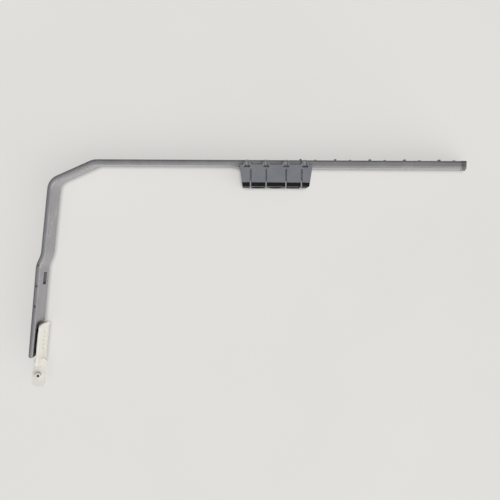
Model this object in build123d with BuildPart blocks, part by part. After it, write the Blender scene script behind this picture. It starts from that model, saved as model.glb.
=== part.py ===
"""Dishwasher water supply tube: a flat L-shaped tube with a clip-on docking unit and a top nozzle.

Millimetres. The tube lies on its side: its flat width is along Z and its bends are in the XY plane.
The origin is the middle of the inlet mouth. +X points out of the inlet, +Y towards the tub's back wall.
"""
import os

from build123d import *

# Tube section
tube_width = 34.0
tube_wall = 2.0
thick_depth = 10.6
thin_depth = 7.8
tip_depth = 6.8
edge_radius = 3.4

# Route of the tube's back face, from the inlet to the tip
long_run = 535.7
slant_run = 70.2
slant_turn = 24.0
arm_run = 108.0
arm_lean = 6.6
jog_run = 16.5
jog_lean = 25.5
tip_run = 136.0
tip_lean = 5.8
slant_radius = 24.0
corner_radius = 23.0
jog_radius = 30.0
taper_run = 62.0
taper_radius = 60.0
tip_radius = 3.4
step_run = 13.0
step_radius = 6.0

# Pads that stand the long run off the tub's wall, and pitted buttons on the short leg's narrow sides
pad_width = 3.0
pad_length = 8.0
pad_height = 1.8
pad_from_side = 6.5
pad_first = 43.4
pad_pitch = 49.5
pad_count = 5
low_pad_offset = 20.9
low_pad_height = 0.8
button_radius = 2.1
button_height = 0.6
button_from_back = 4.2
button_pitch = 30.0
button_count = 3
button_pit_radius = 1.4
button_pit_depth = 1.2

# Pocket in the inner face of the short leg
pocket_from_jog = 20.0
pocket_drop = 2.0
pocket_length = 18.0
pocket_width = 11.0
pocket_depth = 4.4
pocket_wall = 1.6

# Inlet: half the distance that its mouth stands back on the upper side, and its ring
mouth_set_back = 6.5
seal_seat_length = 6.0
seal_seat_depth = 0.8
seal_ring_thickness = 1.0
seal_ring_rounding = 0.8
bead_width = 1.4
bead_height = 0.5

# Docking unit: sizes along the tube, out from its front face, and across it
dock_from_inlet = 276.6
dock_length = 102.3
dock_front_length = 96.3
dock_depth = 21.2
dock_wall = 2.4
dock_skirt = 3.8
dock_clearance = 0.3
dock_corner_radius = 1.6
collar_length = 84.0
collar_width = 28.6
collar_wall = 1.8
collar_corner_radius = 4.0
gasket_thickness = 1.6
window_margin = 1.0

# Snap loops on the docking unit and catches on the tube
loop_inner_offset = 14.0
loop_outer_offset = 41.0
loop_width = 12.8
loop_top_width = 5.2
loop_bar = 2.0
loop_shoulder = 7.2
loop_radius = 1.6
catch_width = 4.6
catch_height = 1.8
catch_length = 5.7
catch_land = 0.8
catch_clearance = 0.3
catch_slot = 2.2
slot_width = 8.0
slot_recess = 1.2

# Docking ports, seal, frame
port_count = 3
port_margin = 0.6
seal_thickness = 5.6
seal_inset = 1.9
seal_flare = 1.1
seal_flare_length = 2.0
seal_lip_wall = 0.9
seal_lip_height = 1.2
seal_edge_radius = 0.8
frame_bar = 1.2
frame_rail = 1.4
rail_depth = 1.2
rail_clearance = 0.1
rail_overlap = 0.4
frame_port_gap = 0.3
strap_inner_offset = 14.0
strap_outer_offset = 36.0
strap_width = 2.0
strap_thickness = 0.8
strap_groove_depth = 1.7
strap_groove_gap = 0.2
groove_end_from_tube = 2.4
strap_hook_length = 3.0
strap_seat_clearance = 0.05
strap_lug_length = 2.0
strap_lug_overlap = 0.4

# Flaps behind the ports
seat_width = 0.8
seat_height = 0.8
flap_overlap = 0.2
flap_thickness = 1.6
flap_gap = 0.3
hinge_rise = 1.0
barrel_radius = 1.3
trunnion_radius = 1.0
trunnion_clearance = 0.05
trunnion_end_gap = 0.3
flap_side_gap = 0.3
boss_width = 4.2
boss_depth = 4.2
boss_height = 3.8
boss_slot = 1.6

# Top nozzle
nozzle_from_tip = 20.0
nozzle_length = 62.0
nozzle_width = 33.0
nozzle_plate = 2.6
nozzle_edge_radius = 1.0
nozzle_corner_radius = 5.0
nozzle_standoff = 4.6
skirt_length = 42.0
skirt_width = 28.0
skirt_corner_radius = 11.0
outlet_shift = 4.5
skirt_wall = 1.6
outlet_length = 31.0
outlet_width = 14.0
outlet_clearance = 0.1
nozzle_seal_thickness = 3.2
jet_radius = 0.8
jet_pitch = 6.0
jet_count = 5
jet_rim = 0.8
jet_rim_height = 0.4
tab_length = 34.0
tab_width = 20.0
tab_thickness = 2.4
tab_root = 9.0
tab_radius = 6.0
tab_hole_radius = 2.2
tab_boss_wall = 1.8
tab_boss_height = 10.0
tab_hole_from_end = 17.0

# Places worked out from the sizes above
back_y = thick_depth / 2
front_y = -thick_depth / 2
half_width = tube_width / 2
edge_rounding = min(edge_radius, 0.47 * tip_depth)
tip_rounding = min(tip_radius, 0.49 * tip_depth)
root_depth = tube_wall / 2
mouth_normal = Vector(half_width, 0, mouth_set_back)
mouth_stretch = mouth_normal.length / half_width
blank_end = mouth_set_back + tube_wall
seat_section = (thick_depth - 2 * seal_seat_depth, mouth_stretch * (tube_width - 2 * seal_seat_depth))
seat_rounding = edge_rounding - seal_seat_depth
bead_section = (thick_depth + 2 * bead_height, mouth_stretch * (tube_width + 2 * bead_height))
ring_section = [size + 2 * seal_ring_thickness for size in seat_section]

dock_x = -dock_from_inlet
thick_end_x = dock_x - dock_length / 2 - dock_clearance
side_inner = half_width + dock_clearance
side_outer = side_inner + dock_wall
front_wall_inside = dock_depth - dock_wall
dock_taper = (dock_length - dock_front_length) / 2
collar_inside = (collar_length - 2 * collar_wall, collar_width - 2 * collar_wall)
collar_inside_radius = collar_corner_radius - collar_wall
window_section = [size - 2 * window_margin for size in collar_inside]

loop_places = [-loop_outer_offset, -loop_inner_offset, loop_inner_offset, loop_outer_offset]
loop_back = back_y - dock_clearance
loop_shoulder_y = loop_back - loop_shoulder
loop_root_y = front_y
catch_back = loop_back - loop_bar - catch_clearance
catch_front = catch_back - catch_length
loop_window_length = catch_length + catch_slot + catch_clearance
loop_window_width = catch_width + 2 * catch_clearance
catch_profile = [
    (catch_back, half_width - root_depth),
    (catch_back, half_width + catch_height),
    (catch_back - catch_land, half_width + catch_height),
    (catch_front, half_width),
    (catch_front, half_width - root_depth),
]
loop_profile = [
    (-loop_width / 2, loop_root_y),
    (loop_width / 2, loop_root_y),
    (loop_width / 2, loop_shoulder_y),
    (loop_top_width / 2, loop_back),
    (-loop_top_width / 2, loop_back),
    (-loop_width / 2, loop_shoulder_y),
]

port_pitch = (strap_inner_offset + strap_outer_offset) / 2
lip_radius = (strap_outer_offset - strap_inner_offset - strap_width) / 2 - frame_port_gap
seal_bore_radius = lip_radius - seal_lip_wall - seal_flare
port_radius = seal_bore_radius + port_margin
port_places = [(index - (port_count - 1) / 2) * port_pitch for index in range(port_count)]
boss_places = [(index - port_count / 2) * port_pitch for index in range(port_count + 1)]
seat_radius = port_radius + seat_width
flap_radius = seat_radius + flap_overlap
hinge_z = flap_radius + hinge_rise
flap_front = front_wall_inside - seat_height - flap_gap
hinge_depth = flap_front - flap_thickness / 2
hinge_y = front_y - hinge_depth
boss_low = hinge_z - boss_height / 2
boss_high = collar_inside[1] / 2 + collar_wall / 2
barrel_reach = (port_pitch - boss_width) / 2 - flap_side_gap
trunnion_reach = port_pitch / 2 - trunnion_end_gap

seal_front = dock_depth + seal_thickness
lip_front = seal_front + seal_lip_height
frame_front = seal_front + frame_bar
rail_length = 2 * strap_outer_offset + strap_width
rail_place = lip_radius + frame_port_gap + frame_rail / 2
strap_places = [-strap_outer_offset, -strap_inner_offset, strap_inner_offset, strap_outer_offset]
groove_floor = side_outer - strap_groove_depth
groove_width = strap_width + 2 * strap_groove_gap
groove_length = dock_depth - groove_end_from_tube
strap_low = groove_floor + strap_seat_clearance
strap_top = strap_low + strap_thickness
strap_length = frame_front - dock_depth + strap_hook_length
lug_low = side_inner + strap_seat_clearance
lug_y = front_y - dock_depth + strap_hook_length - strap_lug_length / 2

# Planes: out of the tube's front face at the docking unit, along the inlet's mouth, and along its bead
dock_plane = Plane(origin=(dock_x, front_y, 0), x_dir=(1, 0, 0), z_dir=(0, -1, 0))
inlet_plane = Plane(origin=(0, 0, 0), x_dir=(0, 1, 0), z_dir=mouth_normal)
bead_plane = Plane(origin=(-seal_seat_length, 0, 0), x_dir=(0, 1, 0), z_dir=mouth_normal)
along_run = (1, 0, 0)


def run_on(start, length, heading):
    """The point at the end of a straight run, with its heading in degrees from +X."""
    return start + Vector(length, 0).rotate(Axis.Z, heading)


def left_of(direction):
    """The direction to the left of another one, in the plane of the bends."""
    return Vector(-direction.Y, direction.X)


def beside(points, distance):
    """The corners of a line drawn beside a route, to the left of its direction."""
    sides = [left_of((after - before).normalized()) for before, after in zip(points, points[1:])]
    corners = [points[0] + sides[0] * distance]
    for point, side, next_side in zip(points[1:], sides, sides[1:]):
        corners.append(point + (side + next_side) * (distance / (1 + side.dot(next_side))))
    corners.append(points[-1] + sides[-1] * distance)
    return corners


def dock_outline(inset, near, far):
    """The docking unit's tapered plan between two distances off the tube's front face."""
    def half_length(distance):
        return dock_length / 2 - dock_taper * max(distance, 0) / dock_depth - inset
    return [
        (dock_x - half_length(near), front_y - near),
        (dock_x + half_length(near), front_y - near),
        (dock_x + half_length(far), front_y - far),
        (dock_x - half_length(far), front_y - far),
    ]


# Back face from the inlet to the tip, and the face in front of it, thinner after the docking unit
inlet_back = Vector(blank_end, back_y)
slant_start = run_on(inlet_back, blank_end + long_run, 180)
corner = run_on(slant_start, slant_run, 180 + slant_turn)
jog_start = run_on(corner, arm_run, 270 - arm_lean)
jog_end = run_on(jog_start, jog_run, 270 - jog_lean)
tip_back = run_on(jog_end, tip_run, 270 - tip_lean)
back_points = [inlet_back, slant_start, corner, jog_start, jog_end, tip_back]
back_radii = [slant_radius, corner_radius, jog_radius, jog_radius]

thin_front = beside(back_points, thin_depth)
leg_direction = (tip_back - jog_end).normalized()
leg_normal = left_of(leg_direction)
taper_start = thin_front[-1] - leg_direction * taper_run
tip_front = tip_back + leg_normal * tip_depth
front_points = [
    Vector(blank_end, front_y),
    Vector(thick_end_x, front_y),
    Vector(thick_end_x - step_run, back_y - thin_depth),
    *thin_front[1:-1],
    taper_start,
    tip_front,
]
front_radii = [
    step_radius,
    step_radius,
    slant_radius - thin_depth,
    corner_radius - thin_depth,
    jog_radius + thin_depth,
    jog_radius - thin_depth,
    taper_radius,
]

pad_rows = (half_width - pad_from_side, pad_from_side - half_width)
pad_places = [(-pad_first - index * pad_pitch, row) for index in range(pad_count) for row in pad_rows]
low_pad_places = [(place + low_pad_offset, row) for place, row in pad_places]
first_button = jog_end + leg_normal * button_from_back
button_places = [first_button + leg_direction * (index * button_pitch) for index in range(button_count)]

# Faces of the short leg: the pocket's place, the nozzle's place and its tab
pocket_centre = jog_end + leg_direction * pocket_from_jog + leg_normal * thin_depth
pocket_plane = Plane(origin=pocket_centre - Vector(0, 0, pocket_drop), x_dir=leg_direction, z_dir=leg_normal)
tab_hole_place = nozzle_length / 2 + tab_length - tab_hole_from_end
tab_height = nozzle_standoff + nozzle_plate / 2
collar_slot = [size - 2 * outlet_clearance for size in (outlet_length, outlet_width)]
tip_direction = (tip_front - taper_start).normalized()
nozzle_centre = tip_front - tip_direction * nozzle_from_tip
nozzle_plane = Plane(origin=nozzle_centre, x_dir=tip_direction, z_dir=left_of(tip_direction))
outlet_centre = nozzle_centre - tip_direction * outlet_shift
outlet_plane = Plane(origin=outlet_centre, x_dir=tip_direction, z_dir=left_of(tip_direction))
tab_plane = Plane(origin=nozzle_centre, x_dir=tip_direction, z_dir=(0, 0, 1))

with BuildSketch() as tube_outline:
    with BuildLine():
        back_line = FilletPolyline(*back_points, radius=back_radii)
        front_line = FilletPolyline(*front_points, radius=front_radii)
        Line(back_line @ 0, front_line @ 0)
        Line(back_line @ 1, front_line @ 1)
    make_face()
    tip_corners = tube_outline.vertices().sort_by_distance((tip_back + tip_front) / 2)[:2]
    fillet(tip_corners, tip_rounding)

with BuildPart() as water_way:
    with BuildSketch():
        add(tube_outline.sketch)
        offset(amount=-tube_wall, mode=Mode.REPLACE)
    extrude(amount=half_width - tube_wall, both=True)
    # An island stays standing round the pocket
    with BuildSketch(pocket_plane):
        Rectangle(pocket_length + 2 * pocket_wall, pocket_width + 2 * pocket_wall)
    extrude(amount=-thin_depth, mode=Mode.SUBTRACT)

with BuildPart() as supply_tube:
    with BuildSketch():
        add(tube_outline.sketch)
    extrude(amount=half_width, both=True)
    long_edges = supply_tube.faces().filter_by(Axis.Z).edges()
    fillet(long_edges.filter_by(lambda edge: edge.center().X < -tube_wall / 2), edge_rounding)
    # Catches for the docking unit's loops, on both narrow sides
    for place in loop_places:
        with BuildSketch(Plane.YZ.offset(dock_x + place)):
            Polygon(*catch_profile)
            mirror(about=Plane.XZ)
        extrude(amount=catch_width / 2, both=True)
    # Pads on the back of the long run, pitted buttons on both narrow sides of the short leg
    for places, height in ((pad_places, pad_height), (low_pad_places, low_pad_height)):
        with BuildSketch(Plane.XZ.offset(root_depth - back_y)):
            with Locations(*places):
                SlotOverall(pad_length, pad_width, rotation=90)
        extrude(amount=-root_depth - height)
    for foot, pit_floor in (
        (half_width - root_depth, half_width - button_pit_depth),
        (-half_width - button_height, -half_width - button_height),
    ):
        with BuildSketch(Plane.XY.offset(foot)):
            with Locations(*button_places):
                Circle(button_radius)
        extrude(amount=root_depth + button_height)
        with BuildSketch(Plane.XY.offset(pit_floor)):
            with Locations(*button_places):
                Circle(button_pit_radius)
        extrude(amount=button_pit_depth + button_height, mode=Mode.SUBTRACT)
    # Recesses in front of the catches
    for floor in (Plane.XY.offset(half_width - slot_recess), Plane.XY.offset(-half_width)):
        with BuildSketch(floor):
            with Locations(*[(dock_x + place, catch_front - catch_slot) for place in loop_places]):
                Rectangle(slot_width, catch_slot, align=(Align.CENTER, Align.MIN))
        extrude(amount=slot_recess, mode=Mode.SUBTRACT)
    add(water_way.part, mode=Mode.SUBTRACT)
    # Window to the docking unit, pocket, outlet to the nozzle
    with BuildSketch(dock_plane):
        RectangleRounded(*window_section, collar_inside_radius)
    extrude(amount=-1.5 * tube_wall, mode=Mode.SUBTRACT)
    with BuildSketch(pocket_plane):
        Rectangle(pocket_length, pocket_width)
    extrude(amount=-pocket_depth, mode=Mode.SUBTRACT)
    with BuildSketch(outlet_plane):
        SlotOverall(outlet_length, outlet_width)
    extrude(amount=-1.5 * tube_wall, mode=Mode.SUBTRACT)
    # Leaning mouth of the inlet, bead behind its ring, and the stepped-down seat for the ring
    with BuildSketch(inlet_plane):
        Rectangle(2 * thick_depth, 2 * tube_width)
    extrude(amount=2 * blank_end, mode=Mode.SUBTRACT)
    with BuildSketch(bead_plane):
        RectangleRounded(*bead_section, edge_rounding + bead_height)
        RectangleRounded(*seat_section, seat_rounding, mode=Mode.SUBTRACT)
    extrude(amount=-bead_width, dir=along_run)
    with BuildSketch(inlet_plane):
        Rectangle(2 * thick_depth, 2 * tube_width)
        RectangleRounded(*seat_section, seat_rounding, mode=Mode.SUBTRACT)
    extrude(amount=-seal_seat_length, dir=along_run, mode=Mode.SUBTRACT)
supply_tube.part.label = "supply_tube"

with BuildPart() as inlet_seal:
    with BuildSketch(inlet_plane):
        RectangleRounded(*ring_section, seat_rounding + seal_ring_thickness)
    extrude(amount=-seal_seat_length, dir=along_run)
    fillet(inlet_seal.faces().filter_by(inlet_plane).edges(), seal_ring_rounding)
    with BuildSketch(inlet_plane):
        RectangleRounded(*seat_section, seat_rounding)
    extrude(amount=-seal_seat_length, dir=along_run, mode=Mode.SUBTRACT)
inlet_seal.part.label = "inlet_seal"

with BuildPart() as docking_gasket:
    with BuildSketch(dock_plane):
        RectangleRounded(collar_length, collar_width, collar_corner_radius)
        RectangleRounded(*collar_inside, collar_inside_radius, mode=Mode.SUBTRACT)
    extrude(amount=gasket_thickness)
docking_gasket.part.label = "docking_gasket"

with BuildSketch() as loop_shape:
    Polygon(*loop_profile)
    fillet(loop_shape.vertices().filter_by(lambda corner_point: corner_point.Y > front_y / 2), loop_radius)

with BuildPart() as docking_body:
    # Tapered box, open towards the tube
    with BuildSketch():
        Polygon(*dock_outline(0, dock_clearance, dock_depth))
    extrude(amount=side_outer, both=True)
    fillet(docking_body.edges().filter_by(Axis.Z).group_by(Axis.Y)[0], dock_corner_radius)
    with BuildSketch():
        Polygon(*dock_outline(dock_wall, -dock_skirt, front_wall_inside))
    extrude(amount=side_inner, both=True, mode=Mode.SUBTRACT)
    for side in (Plane.XY.offset(side_inner), Plane.XY.offset(-side_outer)):
        # Side wall carried back over the tube's narrow side, with the arched loops
        with BuildSketch(side):
            Polygon(*dock_outline(0, -dock_skirt, dock_clearance + dock_wall))
            for place in loop_places:
                with Locations((dock_x + place, 0)):
                    add(loop_shape.sketch)
        extrude(amount=dock_wall)
        # Openings of the loops over the catches, and slots for the lugs of the frame's straps
        with BuildSketch(side):
            with Locations(*[(dock_x + place, catch_front - catch_slot) for place in loop_places]):
                Rectangle(loop_window_width, loop_window_length, align=(Align.CENTER, Align.MIN))
                Rectangle(slot_width, catch_slot, align=(Align.CENTER, Align.MIN))
            with Locations(*[(dock_x + place, lug_y) for place in strap_places]):
                Rectangle(strap_width + 2 * strap_seat_clearance, strap_lug_length + 2 * strap_seat_clearance)
        extrude(amount=dock_wall, mode=Mode.SUBTRACT)
    # Grooves that lead the frame's straps on
    for floor in (Plane.XY.offset(groove_floor), Plane.XY.offset(-side_outer)):
        with BuildSketch(floor):
            with Locations(*[(dock_x + place, front_y - dock_depth) for place in strap_places]):
                Rectangle(groove_width, groove_length, align=(Align.CENTER, Align.MIN))
        extrude(amount=strap_groove_depth, mode=Mode.SUBTRACT)
    # Collar against the gasket
    with BuildSketch(dock_plane.offset(gasket_thickness)):
        RectangleRounded(collar_length, collar_width, collar_corner_radius)
        RectangleRounded(*collar_inside, collar_inside_radius, mode=Mode.SUBTRACT)
    extrude(amount=front_wall_inside - gasket_thickness)
    # Hinge bosses, open towards the tube so that the flaps snap in
    with BuildSketch(dock_plane.offset(front_wall_inside)):
        for place in boss_places:
            with Locations((place, (boss_low + boss_high) / 2)):
                Rectangle(boss_width, boss_high - boss_low)
    extrude(amount=-boss_depth)
    with BuildSketch(Plane.YZ.offset(dock_x)):
        with Locations((hinge_y, hinge_z)):
            Circle(trunnion_radius + trunnion_clearance)
            Rectangle(boss_depth, boss_slot, align=(Align.MIN, Align.CENTER))
    extrude(amount=boss_places[-1] + boss_width / 2, both=True, mode=Mode.SUBTRACT)
    # Ports with raised seats for the flaps
    with BuildSketch(dock_plane.offset(front_wall_inside)):
        for place in port_places:
            with Locations((place, 0)):
                Circle(seat_radius)
    extrude(amount=-seat_height)
    with BuildSketch(dock_plane.offset(dock_depth)):
        for place in port_places:
            with Locations((place, 0)):
                Circle(port_radius)
    extrude(amount=-dock_wall - seat_height, mode=Mode.SUBTRACT)
docking_body.part.label = "docking_body"

with BuildPart() as docking_seal:
    with BuildSketch():
        Polygon(*dock_outline(0, dock_depth, seal_front))
    extrude(amount=side_outer - seal_inset, both=True)
    fillet(docking_seal.faces().sort_by(Axis.Y)[0].edges(), seal_edge_radius)
    with BuildSketch(dock_plane.offset(seal_front)):
        for place in port_places:
            with Locations((place, 0)):
                Circle(lip_radius)
    extrude(amount=seal_lip_height)
    with BuildSketch(dock_plane.offset(lip_front)):
        for place in port_places:
            with Locations((place, 0)):
                Circle(seal_bore_radius)
    extrude(amount=dock_depth - lip_front, mode=Mode.SUBTRACT)
    for place in port_places:
        with BuildSketch(dock_plane.offset(lip_front - seal_flare_length)):
            with Locations((place, 0)):
                Circle(seal_bore_radius)
        with BuildSketch(dock_plane.offset(lip_front)):
            with Locations((place, 0)):
                Circle(seal_bore_radius + seal_flare)
        loft(mode=Mode.SUBTRACT)
    # Grooves for the frame's rails
    with BuildSketch(dock_plane.offset(seal_front)):
        with Locations((0, rail_place), (0, -rail_place)):
            Rectangle(rail_length + 2 * rail_clearance, frame_rail + 2 * rail_clearance)
    extrude(amount=-rail_depth - rail_clearance, mode=Mode.SUBTRACT)
docking_seal.part.label = "docking_seal"

with BuildPart() as docking_frame:
    # Bars down the front between the ports, joined by two rails sunk into the seal
    with BuildSketch(dock_plane.offset(seal_front)):
        with Locations(*[(place, 0) for place in strap_places]):
            Rectangle(strap_width, 2 * strap_top)
    extrude(amount=frame_bar)
    with BuildSketch(dock_plane.offset(seal_front - rail_depth)):
        with Locations((0, rail_place), (0, -rail_place)):
            Rectangle(rail_length, frame_rail)
    extrude(amount=rail_depth + rail_overlap)
    # Straps over the seal's edges, each with a lug that hooks into the docking unit's side
    for under_strap, under_lug in (
        (Plane.XY.offset(strap_low), Plane.XY.offset(lug_low)),
        (Plane.XY.offset(-strap_top), Plane.XY.offset(-strap_low - strap_lug_overlap)),
    ):
        with BuildSketch(under_strap):
            with Locations(*[(dock_x + place, front_y - frame_front) for place in strap_places]):
                Rectangle(strap_width, strap_length, align=(Align.CENTER, Align.MIN))
        extrude(amount=strap_thickness)
        with BuildSketch(under_lug):
            with Locations(*[(dock_x + place, lug_y) for place in strap_places]):
                Rectangle(strap_width, strap_lug_length)
        extrude(amount=strap_low + strap_lug_overlap - lug_low)
docking_frame.part.label = "docking_frame"

flaps = []
for index, place in enumerate(port_places):
    with BuildPart() as port_flap:
        with BuildSketch(dock_plane.offset(flap_front)):
            with Locations((place, 0)):
                Circle(flap_radius)
                Rectangle(2 * (barrel_reach - barrel_radius), hinge_z, align=(Align.CENTER, Align.MIN))
        extrude(amount=-flap_thickness)
        for radius, reach in ((barrel_radius, barrel_reach), (trunnion_radius, trunnion_reach)):
            with BuildSketch(Plane.YZ.offset(dock_x + place)):
                with Locations((hinge_y, hinge_z)):
                    Circle(radius)
            extrude(amount=reach, both=True)
    port_flap.part.label = f"port_flap_{index + 1}"
    flaps.append(port_flap)

with BuildPart() as nozzle_seal:
    with BuildSketch(outlet_plane):
        RectangleRounded(skirt_length, skirt_width, skirt_corner_radius)
        SlotOverall(outlet_length, outlet_width, mode=Mode.SUBTRACT)
    extrude(amount=nozzle_seal_thickness)
nozzle_seal.part.label = "nozzle_seal"

with BuildPart() as top_nozzle:
    # Oblong plate with a skirt against the seal
    with BuildSketch(nozzle_plane.offset(nozzle_standoff)):
        RectangleRounded(nozzle_length, nozzle_width, nozzle_corner_radius)
    extrude(amount=nozzle_plate)
    plate_face = top_nozzle.faces().sort_by(Axis(nozzle_centre, nozzle_plane.z_dir))[-1]
    fillet(plate_face.edges(), nozzle_edge_radius)
    with BuildSketch(outlet_plane.offset(nozzle_seal_thickness)):
        RectangleRounded(skirt_length, skirt_width, skirt_corner_radius)
    extrude(amount=nozzle_standoff - nozzle_seal_thickness)
    # Collar in the tube's outlet, and the way through it to the plate
    with BuildSketch(outlet_plane.offset(-tube_wall)):
        SlotOverall(*collar_slot)
    extrude(amount=tube_wall + nozzle_standoff)
    with BuildSketch(outlet_plane.offset(-tube_wall)):
        SlotOverall(*[size - 2 * skirt_wall for size in collar_slot])
    extrude(amount=tube_wall + nozzle_standoff, mode=Mode.SUBTRACT)
    # Jets with raised rims
    with BuildSketch(outlet_plane.offset(nozzle_standoff + nozzle_plate)):
        with GridLocations(jet_pitch, jet_pitch, jet_count, 1):
            Circle(jet_radius + jet_rim)
    extrude(amount=jet_rim_height)
    with BuildSketch(outlet_plane.offset(nozzle_standoff + nozzle_plate + jet_rim_height)):
        with GridLocations(jet_pitch, jet_pitch, jet_count, 1):
            Circle(jet_radius)
    extrude(amount=-nozzle_plate - jet_rim_height, mode=Mode.SUBTRACT)
    # Hanger tab beyond the tip, edge on to the plate
    with BuildSketch(tab_plane) as tab_shape:
        with Locations((nozzle_length / 2 - tab_root, tab_height)):
            Rectangle(tab_root + tab_length, tab_width, align=(Align.MIN, Align.CENTER))
        fillet(tab_shape.vertices(), tab_radius)
    extrude(amount=tab_thickness / 2, both=True)
    for radius, mode in ((tab_hole_radius + tab_boss_wall, Mode.ADD), (tab_hole_radius, Mode.SUBTRACT)):
        with BuildSketch(tab_plane):
            with Locations((tab_hole_place, tab_height)):
                Circle(radius)
        extrude(amount=tab_boss_height / 2, both=True, mode=mode)
top_nozzle.part.label = "top_nozzle"

os.makedirs("parts", exist_ok=True)
pieces = [supply_tube, inlet_seal, docking_gasket, docking_body, docking_seal, docking_frame, *flaps]
for piece in [*pieces, nozzle_seal, top_nozzle]:
    export_step(piece.part, f"parts/{piece.part.label}.step")
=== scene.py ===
"""Looks for a dishwasher water supply tube: finishes for its pieces, broken edges, floor, light and camera.

Metres, in the solid model's frame: +X out of the inlet, +Y to the tub's back wall, +Z up across the tube.
"""
import math

import bmesh
import bpy
from mathutils import Euler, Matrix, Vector


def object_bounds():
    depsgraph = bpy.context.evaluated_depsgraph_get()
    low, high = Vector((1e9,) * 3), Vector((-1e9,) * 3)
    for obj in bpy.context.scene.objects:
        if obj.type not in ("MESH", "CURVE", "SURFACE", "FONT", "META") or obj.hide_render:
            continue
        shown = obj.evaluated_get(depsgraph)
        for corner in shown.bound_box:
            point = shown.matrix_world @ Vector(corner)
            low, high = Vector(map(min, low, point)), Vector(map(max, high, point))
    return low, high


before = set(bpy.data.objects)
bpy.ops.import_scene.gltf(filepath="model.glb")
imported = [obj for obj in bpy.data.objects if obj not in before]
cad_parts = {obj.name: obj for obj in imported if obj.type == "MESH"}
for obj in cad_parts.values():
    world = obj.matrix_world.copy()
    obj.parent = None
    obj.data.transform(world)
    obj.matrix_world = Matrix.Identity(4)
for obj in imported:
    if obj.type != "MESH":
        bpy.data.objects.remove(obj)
cad_low, cad_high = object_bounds()
scene = bpy.context.scene

# Edges that the moulds leave a little round
edge_breaks = {"docking_body": 0.0003, "docking_frame": 0.0002}
edge_break_angle = math.radians(40)
edge_break_steps = 2
weld_reach = 0.000002

# How far the painted corner shade reaches out of a corner, and a painted contact shadow over the floor
plastic_painted_shade_reach = 0.006
white_painted_shade_reach = 0.005
painted_contact_reach = 0.006

# The floor, just under the part and centred on it, and the share of its look that shadows don't reach
floor_half_size = 4.0
floor_middle = (-0.3, -0.12)
floor_gap = 0.0002
floor_plain_share = 0.7

# The light: a dim sky and soft patches, each with its direction, level and tightness
sky_fill = 0.11
backdrop_level = 0.78
overhead = ((0.2, -0.5, 1.0), 1.3, 3.0)
window = ((0.8, -0.6, 0.16), 4.6, 6.0)

# The camera, over the part and almost straight down
camera_place = (-0.316025, -0.084621, 0.714221)
camera_turn = (-0.0543576, -0.0042838, 0.0044267)
camera_lens = 35.214
camera_sensor = 36.0
camera_nearest = 0.01


class Wire:
    """A socket's value in a finish, for shader maths written as expressions."""

    def __init__(self, tree, socket):
        self.tree = tree
        self.socket = socket

    def maths(self, operation, *values):
        node = self.tree.nodes.new("ShaderNodeMath")
        node.operation = operation
        for place, value in enumerate(values):
            if isinstance(value, Wire):
                self.tree.links.new(value.socket, node.inputs[place])
            else:
                node.inputs[place].default_value = value
        return Wire(self.tree, node.outputs[0])

    def __add__(self, other):
        return self.maths("ADD", self, other)

    def __radd__(self, other):
        return self.maths("ADD", other, self)

    def __sub__(self, other):
        return self.maths("SUBTRACT", self, other)

    def __rsub__(self, other):
        return self.maths("SUBTRACT", other, self)

    def __mul__(self, other):
        return self.maths("MULTIPLY", self, other)

    def __rmul__(self, other):
        return self.maths("MULTIPLY", other, self)

    def __pow__(self, other):
        return self.maths("POWER", self, other)


class Finish:
    """One material, with its shader and one way to add any other node."""

    def __init__(self, name, **constants):
        self.material = bpy.data.materials.new(name)
        self.material.use_nodes = True
        self.tree = self.material.node_tree
        self.shader = self.tree.nodes["Principled BSDF"]
        for socket, value in constants.items():
            self.shader.inputs[socket.replace("_", " ")].default_value = value
        self.place = self.node("TexCoord", output="Object")

    def node(self, kind, settings=None, output=0, **sockets):
        """Adds a node. A socket is named by its label, or by _ and its number."""
        node = self.tree.nodes.new("ShaderNode" + kind)
        for key, value in (settings or {}).items():
            if key == "stops":
                for stop, (at, level) in zip(node.color_ramp.elements, value):
                    stop.position = at
                    stop.color = (level, level, level, 1)
            else:
                setattr(node, key, value)
        for key, value in sockets.items():
            socket = node.inputs[int(key[1:]) if key[1:].isdigit() else key.replace("_", " ")]
            if isinstance(value, Wire):
                self.tree.links.new(value.socket, socket)
            else:
                socket.default_value = value
        return Wire(self.tree, node.outputs[output])

    def noise(self, scale, detail, rough):
        return self.node("TexNoise", Vector=self.place, Scale=scale, Detail=detail, Roughness=rough)

    def ramp(self, value, low, high):
        return self.node("ValToRGB", {"stops": [(low, 0.0), (high, 1.0)]}, Fac=value)

    def blend(self, factor, first, second):
        return self.node("Mix", {"data_type": "RGBA"}, output=2, _0=factor, _6=first, _7=second)

    def corners(self, reach):
        """How closed in a place is, 0 in the open to 1 deep in a corner or slot."""
        return 1.0 - self.node("AmbientOcclusion", {"samples": 8}, output="AO", Distance=reach)

    def feed(self, socket, value):
        self.tree.links.new(value.socket, self.shader.inputs[socket])

    def relief(self, *layers):
        """Bumps laid over each other: (height, depth in metres, strength), the finest last."""
        normal = None
        for height, depth, strength in layers:
            extra = {"Normal": normal} if normal else {}
            normal = self.node("Bump", Height=height, Distance=depth, Strength=strength, **extra)
        self.feed("Normal", normal)


def linear(value):
    """One channel as it is seen on a screen, 0 to 255, made linear."""
    if value > 10:
        return ((value / 255 + 0.055) / 1.055) ** 2.4
    return value / 255 / 12.92


def rgb(red, green, blue):
    """A colour as it is seen on a screen."""
    return linear(red), linear(green), linear(blue), 1


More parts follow.
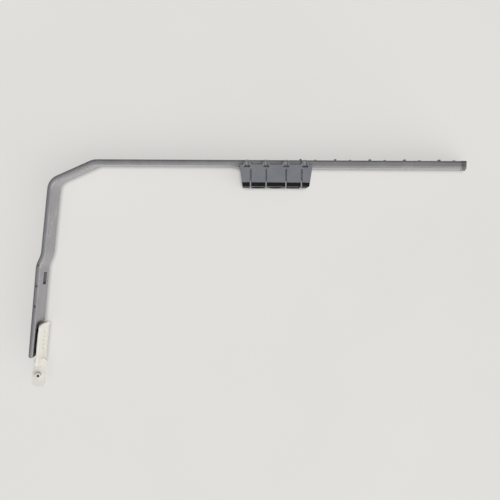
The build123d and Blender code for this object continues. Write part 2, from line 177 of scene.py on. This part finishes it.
def moulded_plastic(name, colour, tint, dark, gloss, gloss_spread, grain, sink):
    """Satin moulded plastic: cloudy pigment, mould grain, slow hollows and painted shade darkening the
    corners.
    """
    finish = Finish(name, Specular_IOR_Level=0.6)
    cloud = finish.ramp(finish.noise(30, 4, 0.6), 0.36, 0.66)
    fine = finish.ramp(finish.noise(420, 3, 0.6), 0.35, 0.7)
    speck = finish.ramp(finish.noise(1100, 2, 0.5), 0.58, 0.8)
    # Painted shade: corners, slots and grooves are darkened by ambient occlusion, with a little noise
    painted_corner_shade = finish.ramp(finish.corners(plastic_painted_shade_reach) + 0.3 * (fine - 0.5), 0.3, 0.95)
    tone = finish.blend(cloud, colour, tint)
    tone = finish.blend(fine * 0.22, tone, dark)
    tone = finish.blend(speck * 0.1, tone, rgb(176, 176, 178))
    # The near-black colour of the painted corner shade
    tone = finish.blend(painted_corner_shade * 0.85, tone, rgb(44, 42, 41))
    finish.feed("Base Color", tone)
    uneven = gloss_spread * (cloud - 0.5) + 0.5 * gloss_spread * (fine - 0.5)
    finish.feed("Roughness", gloss + uneven + 0.3 * painted_corner_shade)
    finish.relief(
        (finish.noise(26, 2, 0.5), 0.0012, sink),
        (finish.noise(2600, 2, 0.5), 0.00006, grain),
    )
    return finish.material


def moulded_rubber(name, colour, bloomed):
    """Soft rubber with a greyish bloom, dust in patches and a fine moulded tooth."""
    finish = Finish(name, Specular_IOR_Level=0.2)
    bloom = finish.ramp(finish.noise(60, 4, 0.6), 0.4, 0.72)
    dust = finish.ramp(finish.noise(1300, 2, 0.5), 0.62, 0.72)
    tone = finish.blend(bloom * 0.5, colour, bloomed)
    tone = finish.blend(dust * 0.2, tone, rgb(98, 98, 100))
    finish.feed("Base Color", tone)
    finish.feed("Roughness", 0.52 + 0.16 * bloom + 0.1 * dust)
    finish.relief((finish.noise(900, 3, 0.6), 0.00008, 0.3), (finish.noise(3200, 2, 0.5), 0.00005, 0.25))
    return finish.material


def white_plastic(name):
    """Milky white plastic, slightly yellowed, with painted light on upward faces and painted shade
    darkening corners.
    """
    finish = Finish(
        name, Specular_IOR_Level=0.4, Subsurface_Weight=0.08, Subsurface_Radius=(0.002, 0.002, 0.0016)
    )
    cloud = finish.ramp(finish.noise(45, 4, 0.6), 0.35, 0.7)
    speck = finish.ramp(finish.noise(1500, 2, 0.5), 0.68, 0.75)
    # Painted shade: corners and the bore of the tab's hole are darkened by ambient occlusion
    painted_corner_shade = finish.ramp(finish.corners(white_painted_shade_reach), 0.45, 1.0)
    # Painted light: faces that point up are made lighter, standing in for more light falling on the tab's
    # top
    facing = finish.node("NewGeometry", output="Normal")
    upward = finish.node("SeparateXYZ", output="Z", Vector=facing)
    scale = finish.ramp(upward + 0.3 * (cloud - 0.5), 0.3, 0.9)
    tone = finish.blend(cloud * 0.7, rgb(209, 206, 198), rgb(201, 197, 187))
    tone = finish.blend(scale * 0.85, tone, rgb(236, 233, 226))
    tone = finish.blend(speck * 0.15, tone, rgb(188, 182, 170))
    # The dark colour of the painted corner shade
    tone = finish.blend(painted_corner_shade * 0.6, tone, rgb(96, 90, 80))
    finish.feed("Base Color", tone)
    finish.feed("Roughness", 0.34 + 0.1 * cloud + 0.2 * painted_corner_shade + 0.12 * scale)
    finish.relief((finish.noise(30, 2, 0.5), 0.001, 0.1), (finish.noise(2200, 2, 0.5), 0.00005, 0.1))
    return finish.material


tube_grey = moulded_plastic(
    "tube_grey", rgb(122, 121, 123), rgb(133, 132, 134), rgb(110, 109, 112),
    gloss=0.24, gloss_spread=0.08, grain=0.08, sink=0.06,
)
dock_grey = moulded_plastic(
    "dock_grey", rgb(114, 118, 129), rgb(128, 128, 130), rgb(98, 100, 108),
    gloss=0.42, gloss_spread=0.12, grain=0.2, sink=0.08,
)
strap_grey = moulded_plastic(
    "strap_grey", rgb(134, 136, 142), rgb(146, 147, 150), rgb(116, 118, 124),
    gloss=0.4, gloss_spread=0.1, grain=0.16, sink=0.06,
)
flap_grey = moulded_plastic(
    "flap_grey", rgb(132, 135, 144), rgb(144, 145, 148), rgb(116, 118, 126),
    gloss=0.38, gloss_spread=0.1, grain=0.14, sink=0.06,
)
black_rubber = moulded_rubber("black_rubber", rgb(12, 12, 14), rgb(30, 30, 34))
ring_rubber = moulded_rubber("ring_rubber", rgb(100, 99, 98), rgb(124, 122, 120))
nozzle_white = white_plastic("nozzle_white")

node_finishes = {
    "supply_tube": tube_grey,
    "inlet_seal": ring_rubber,
    "docking_gasket": black_rubber,
    "docking_body": dock_grey,
    "docking_seal": black_rubber,
    "docking_frame": strap_grey,
    "port_flap_1": flap_grey,
    "port_flap_2": flap_grey,
    "port_flap_3": flap_grey,
    # The nozzle seal is black rubber; its black also stands in for the shade in the gap under the nozzle
    # plate, a painted shade
    "nozzle_seal": black_rubber,
    "top_nozzle": nozzle_white,
}
for node_name, node_finish in node_finishes.items():
    node_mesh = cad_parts[node_name].data
    for slot in range(len(node_mesh.materials)):
        node_mesh.materials[slot] = node_finish


def break_edges(node, width):
    """Breaks a moulding's sharp edges, as a real mould leaves them."""
    weld = node.modifiers.new("joined", "WELD")
    weld.merge_threshold = weld_reach
    bevel = node.modifiers.new("edge_break", "BEVEL")
    bevel.width = width
    bevel.segments = edge_break_steps
    bevel.profile = 0.5
    bevel.limit_method = "ANGLE"
    bevel.angle_limit = edge_break_angle
    bevel.use_clamp_overlap = False
    normals = node.modifiers.new("even_normals", "WEIGHTED_NORMAL")
    normals.keep_sharp = False


for node_name, width in edge_breaks.items():
    break_edges(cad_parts[node_name], width)


def pale_board():
    """Pale, faintly warm board with a painted contact shadow where a piece stands on it. Its wide shadows
    are softened.
    """
    finish = Finish("pale_board", Roughness=0.7, Specular_IOR_Level=0.2)
    cloud = finish.ramp(finish.noise(3, 3, 0.5), 0.3, 0.7)
    # Painted shadow: the board is darkened by ambient occlusion around where the part stands
    painted_contact_shadow = finish.ramp(finish.corners(painted_contact_reach), 0.1, 0.75)
    tone = finish.blend(cloud * 0.5, rgb(231, 229, 226), rgb(226, 224, 221))
    tone = finish.blend(painted_contact_shadow * 0.7, tone, rgb(92, 90, 88))
    finish.feed("Base Color", tone)
    seen = finish.node("LightPath", output="Is Camera Ray")
    seen = seen.maths("MAXIMUM", seen, finish.node("LightPath", output="Is Glossy Ray"))
    lit = Wire(finish.tree, finish.shader.outputs[0])
    plain = finish.node("Emission", Color=tone)
    mixed = finish.node("MixShader", _0=seen * floor_plain_share, _1=lit, _2=plain)
    finish.tree.links.new(mixed.socket, finish.tree.nodes["Material Output"].inputs["Surface"])
    return finish.material


def board_floor():
    """A wide flat board under the part."""
    shape = bmesh.new()
    bmesh.ops.create_grid(shape, x_segments=4, y_segments=4, size=floor_half_size)
    bmesh.ops.translate(shape, verts=shape.verts, vec=(*floor_middle, cad_low.z - floor_gap))
    bmesh.ops.recalc_face_normals(shape, faces=shape.faces)
    mesh = bpy.data.meshes.new("floor")
    shape.to_mesh(mesh)
    shape.free()
    mesh.materials.append(pale_board())
    board = bpy.data.objects.new("floor", mesh)
    scene.collection.objects.link(board)
    return board


floor = board_floor()


def studio_sky(fill, *softboxes):
    """A dim sky with soft bright patches, behind a pale backdrop that only the camera sees."""
    world = bpy.data.worlds.new("studio")
    world.use_nodes = True
    tree = world.node_tree
    heading = tree.nodes.new("ShaderNodeTexCoord")
    level = fill
    for direction, bright, tightness in softboxes:
        facing = tree.nodes.new("ShaderNodeVectorMath")
        facing.operation = "DOT_PRODUCT"
        facing.inputs[1].default_value = Vector(direction).normalized()
        tree.links.new(heading.outputs["Generated"], facing.inputs[0])
        lobe = Wire(tree, facing.outputs["Value"])
        level = level + bright * lobe.maths("MAXIMUM", lobe, 0.0) ** tightness
    path = tree.nodes.new("ShaderNodeLightPath")
    level = level + Wire(tree, path.outputs["Is Camera Ray"]) * (backdrop_level - level)
    background = tree.nodes["Background"].inputs
    background["Color"].default_value = (1, 1, 1, 1)
    tree.links.new(level.socket, background["Strength"])
    scene.world = world


studio_sky(sky_fill, overhead, window)

camera_data = bpy.data.cameras.new("camera")
camera_data.sensor_width = camera_sensor
camera_data.lens = camera_lens
camera_data.clip_start = camera_nearest
camera = bpy.data.objects.new("camera", camera_data)
camera.location = camera_place
camera.rotation_euler = Euler(camera_turn)
scene.collection.objects.link(camera)
scene.camera = camera

scene.view_settings.view_transform = "Standard"
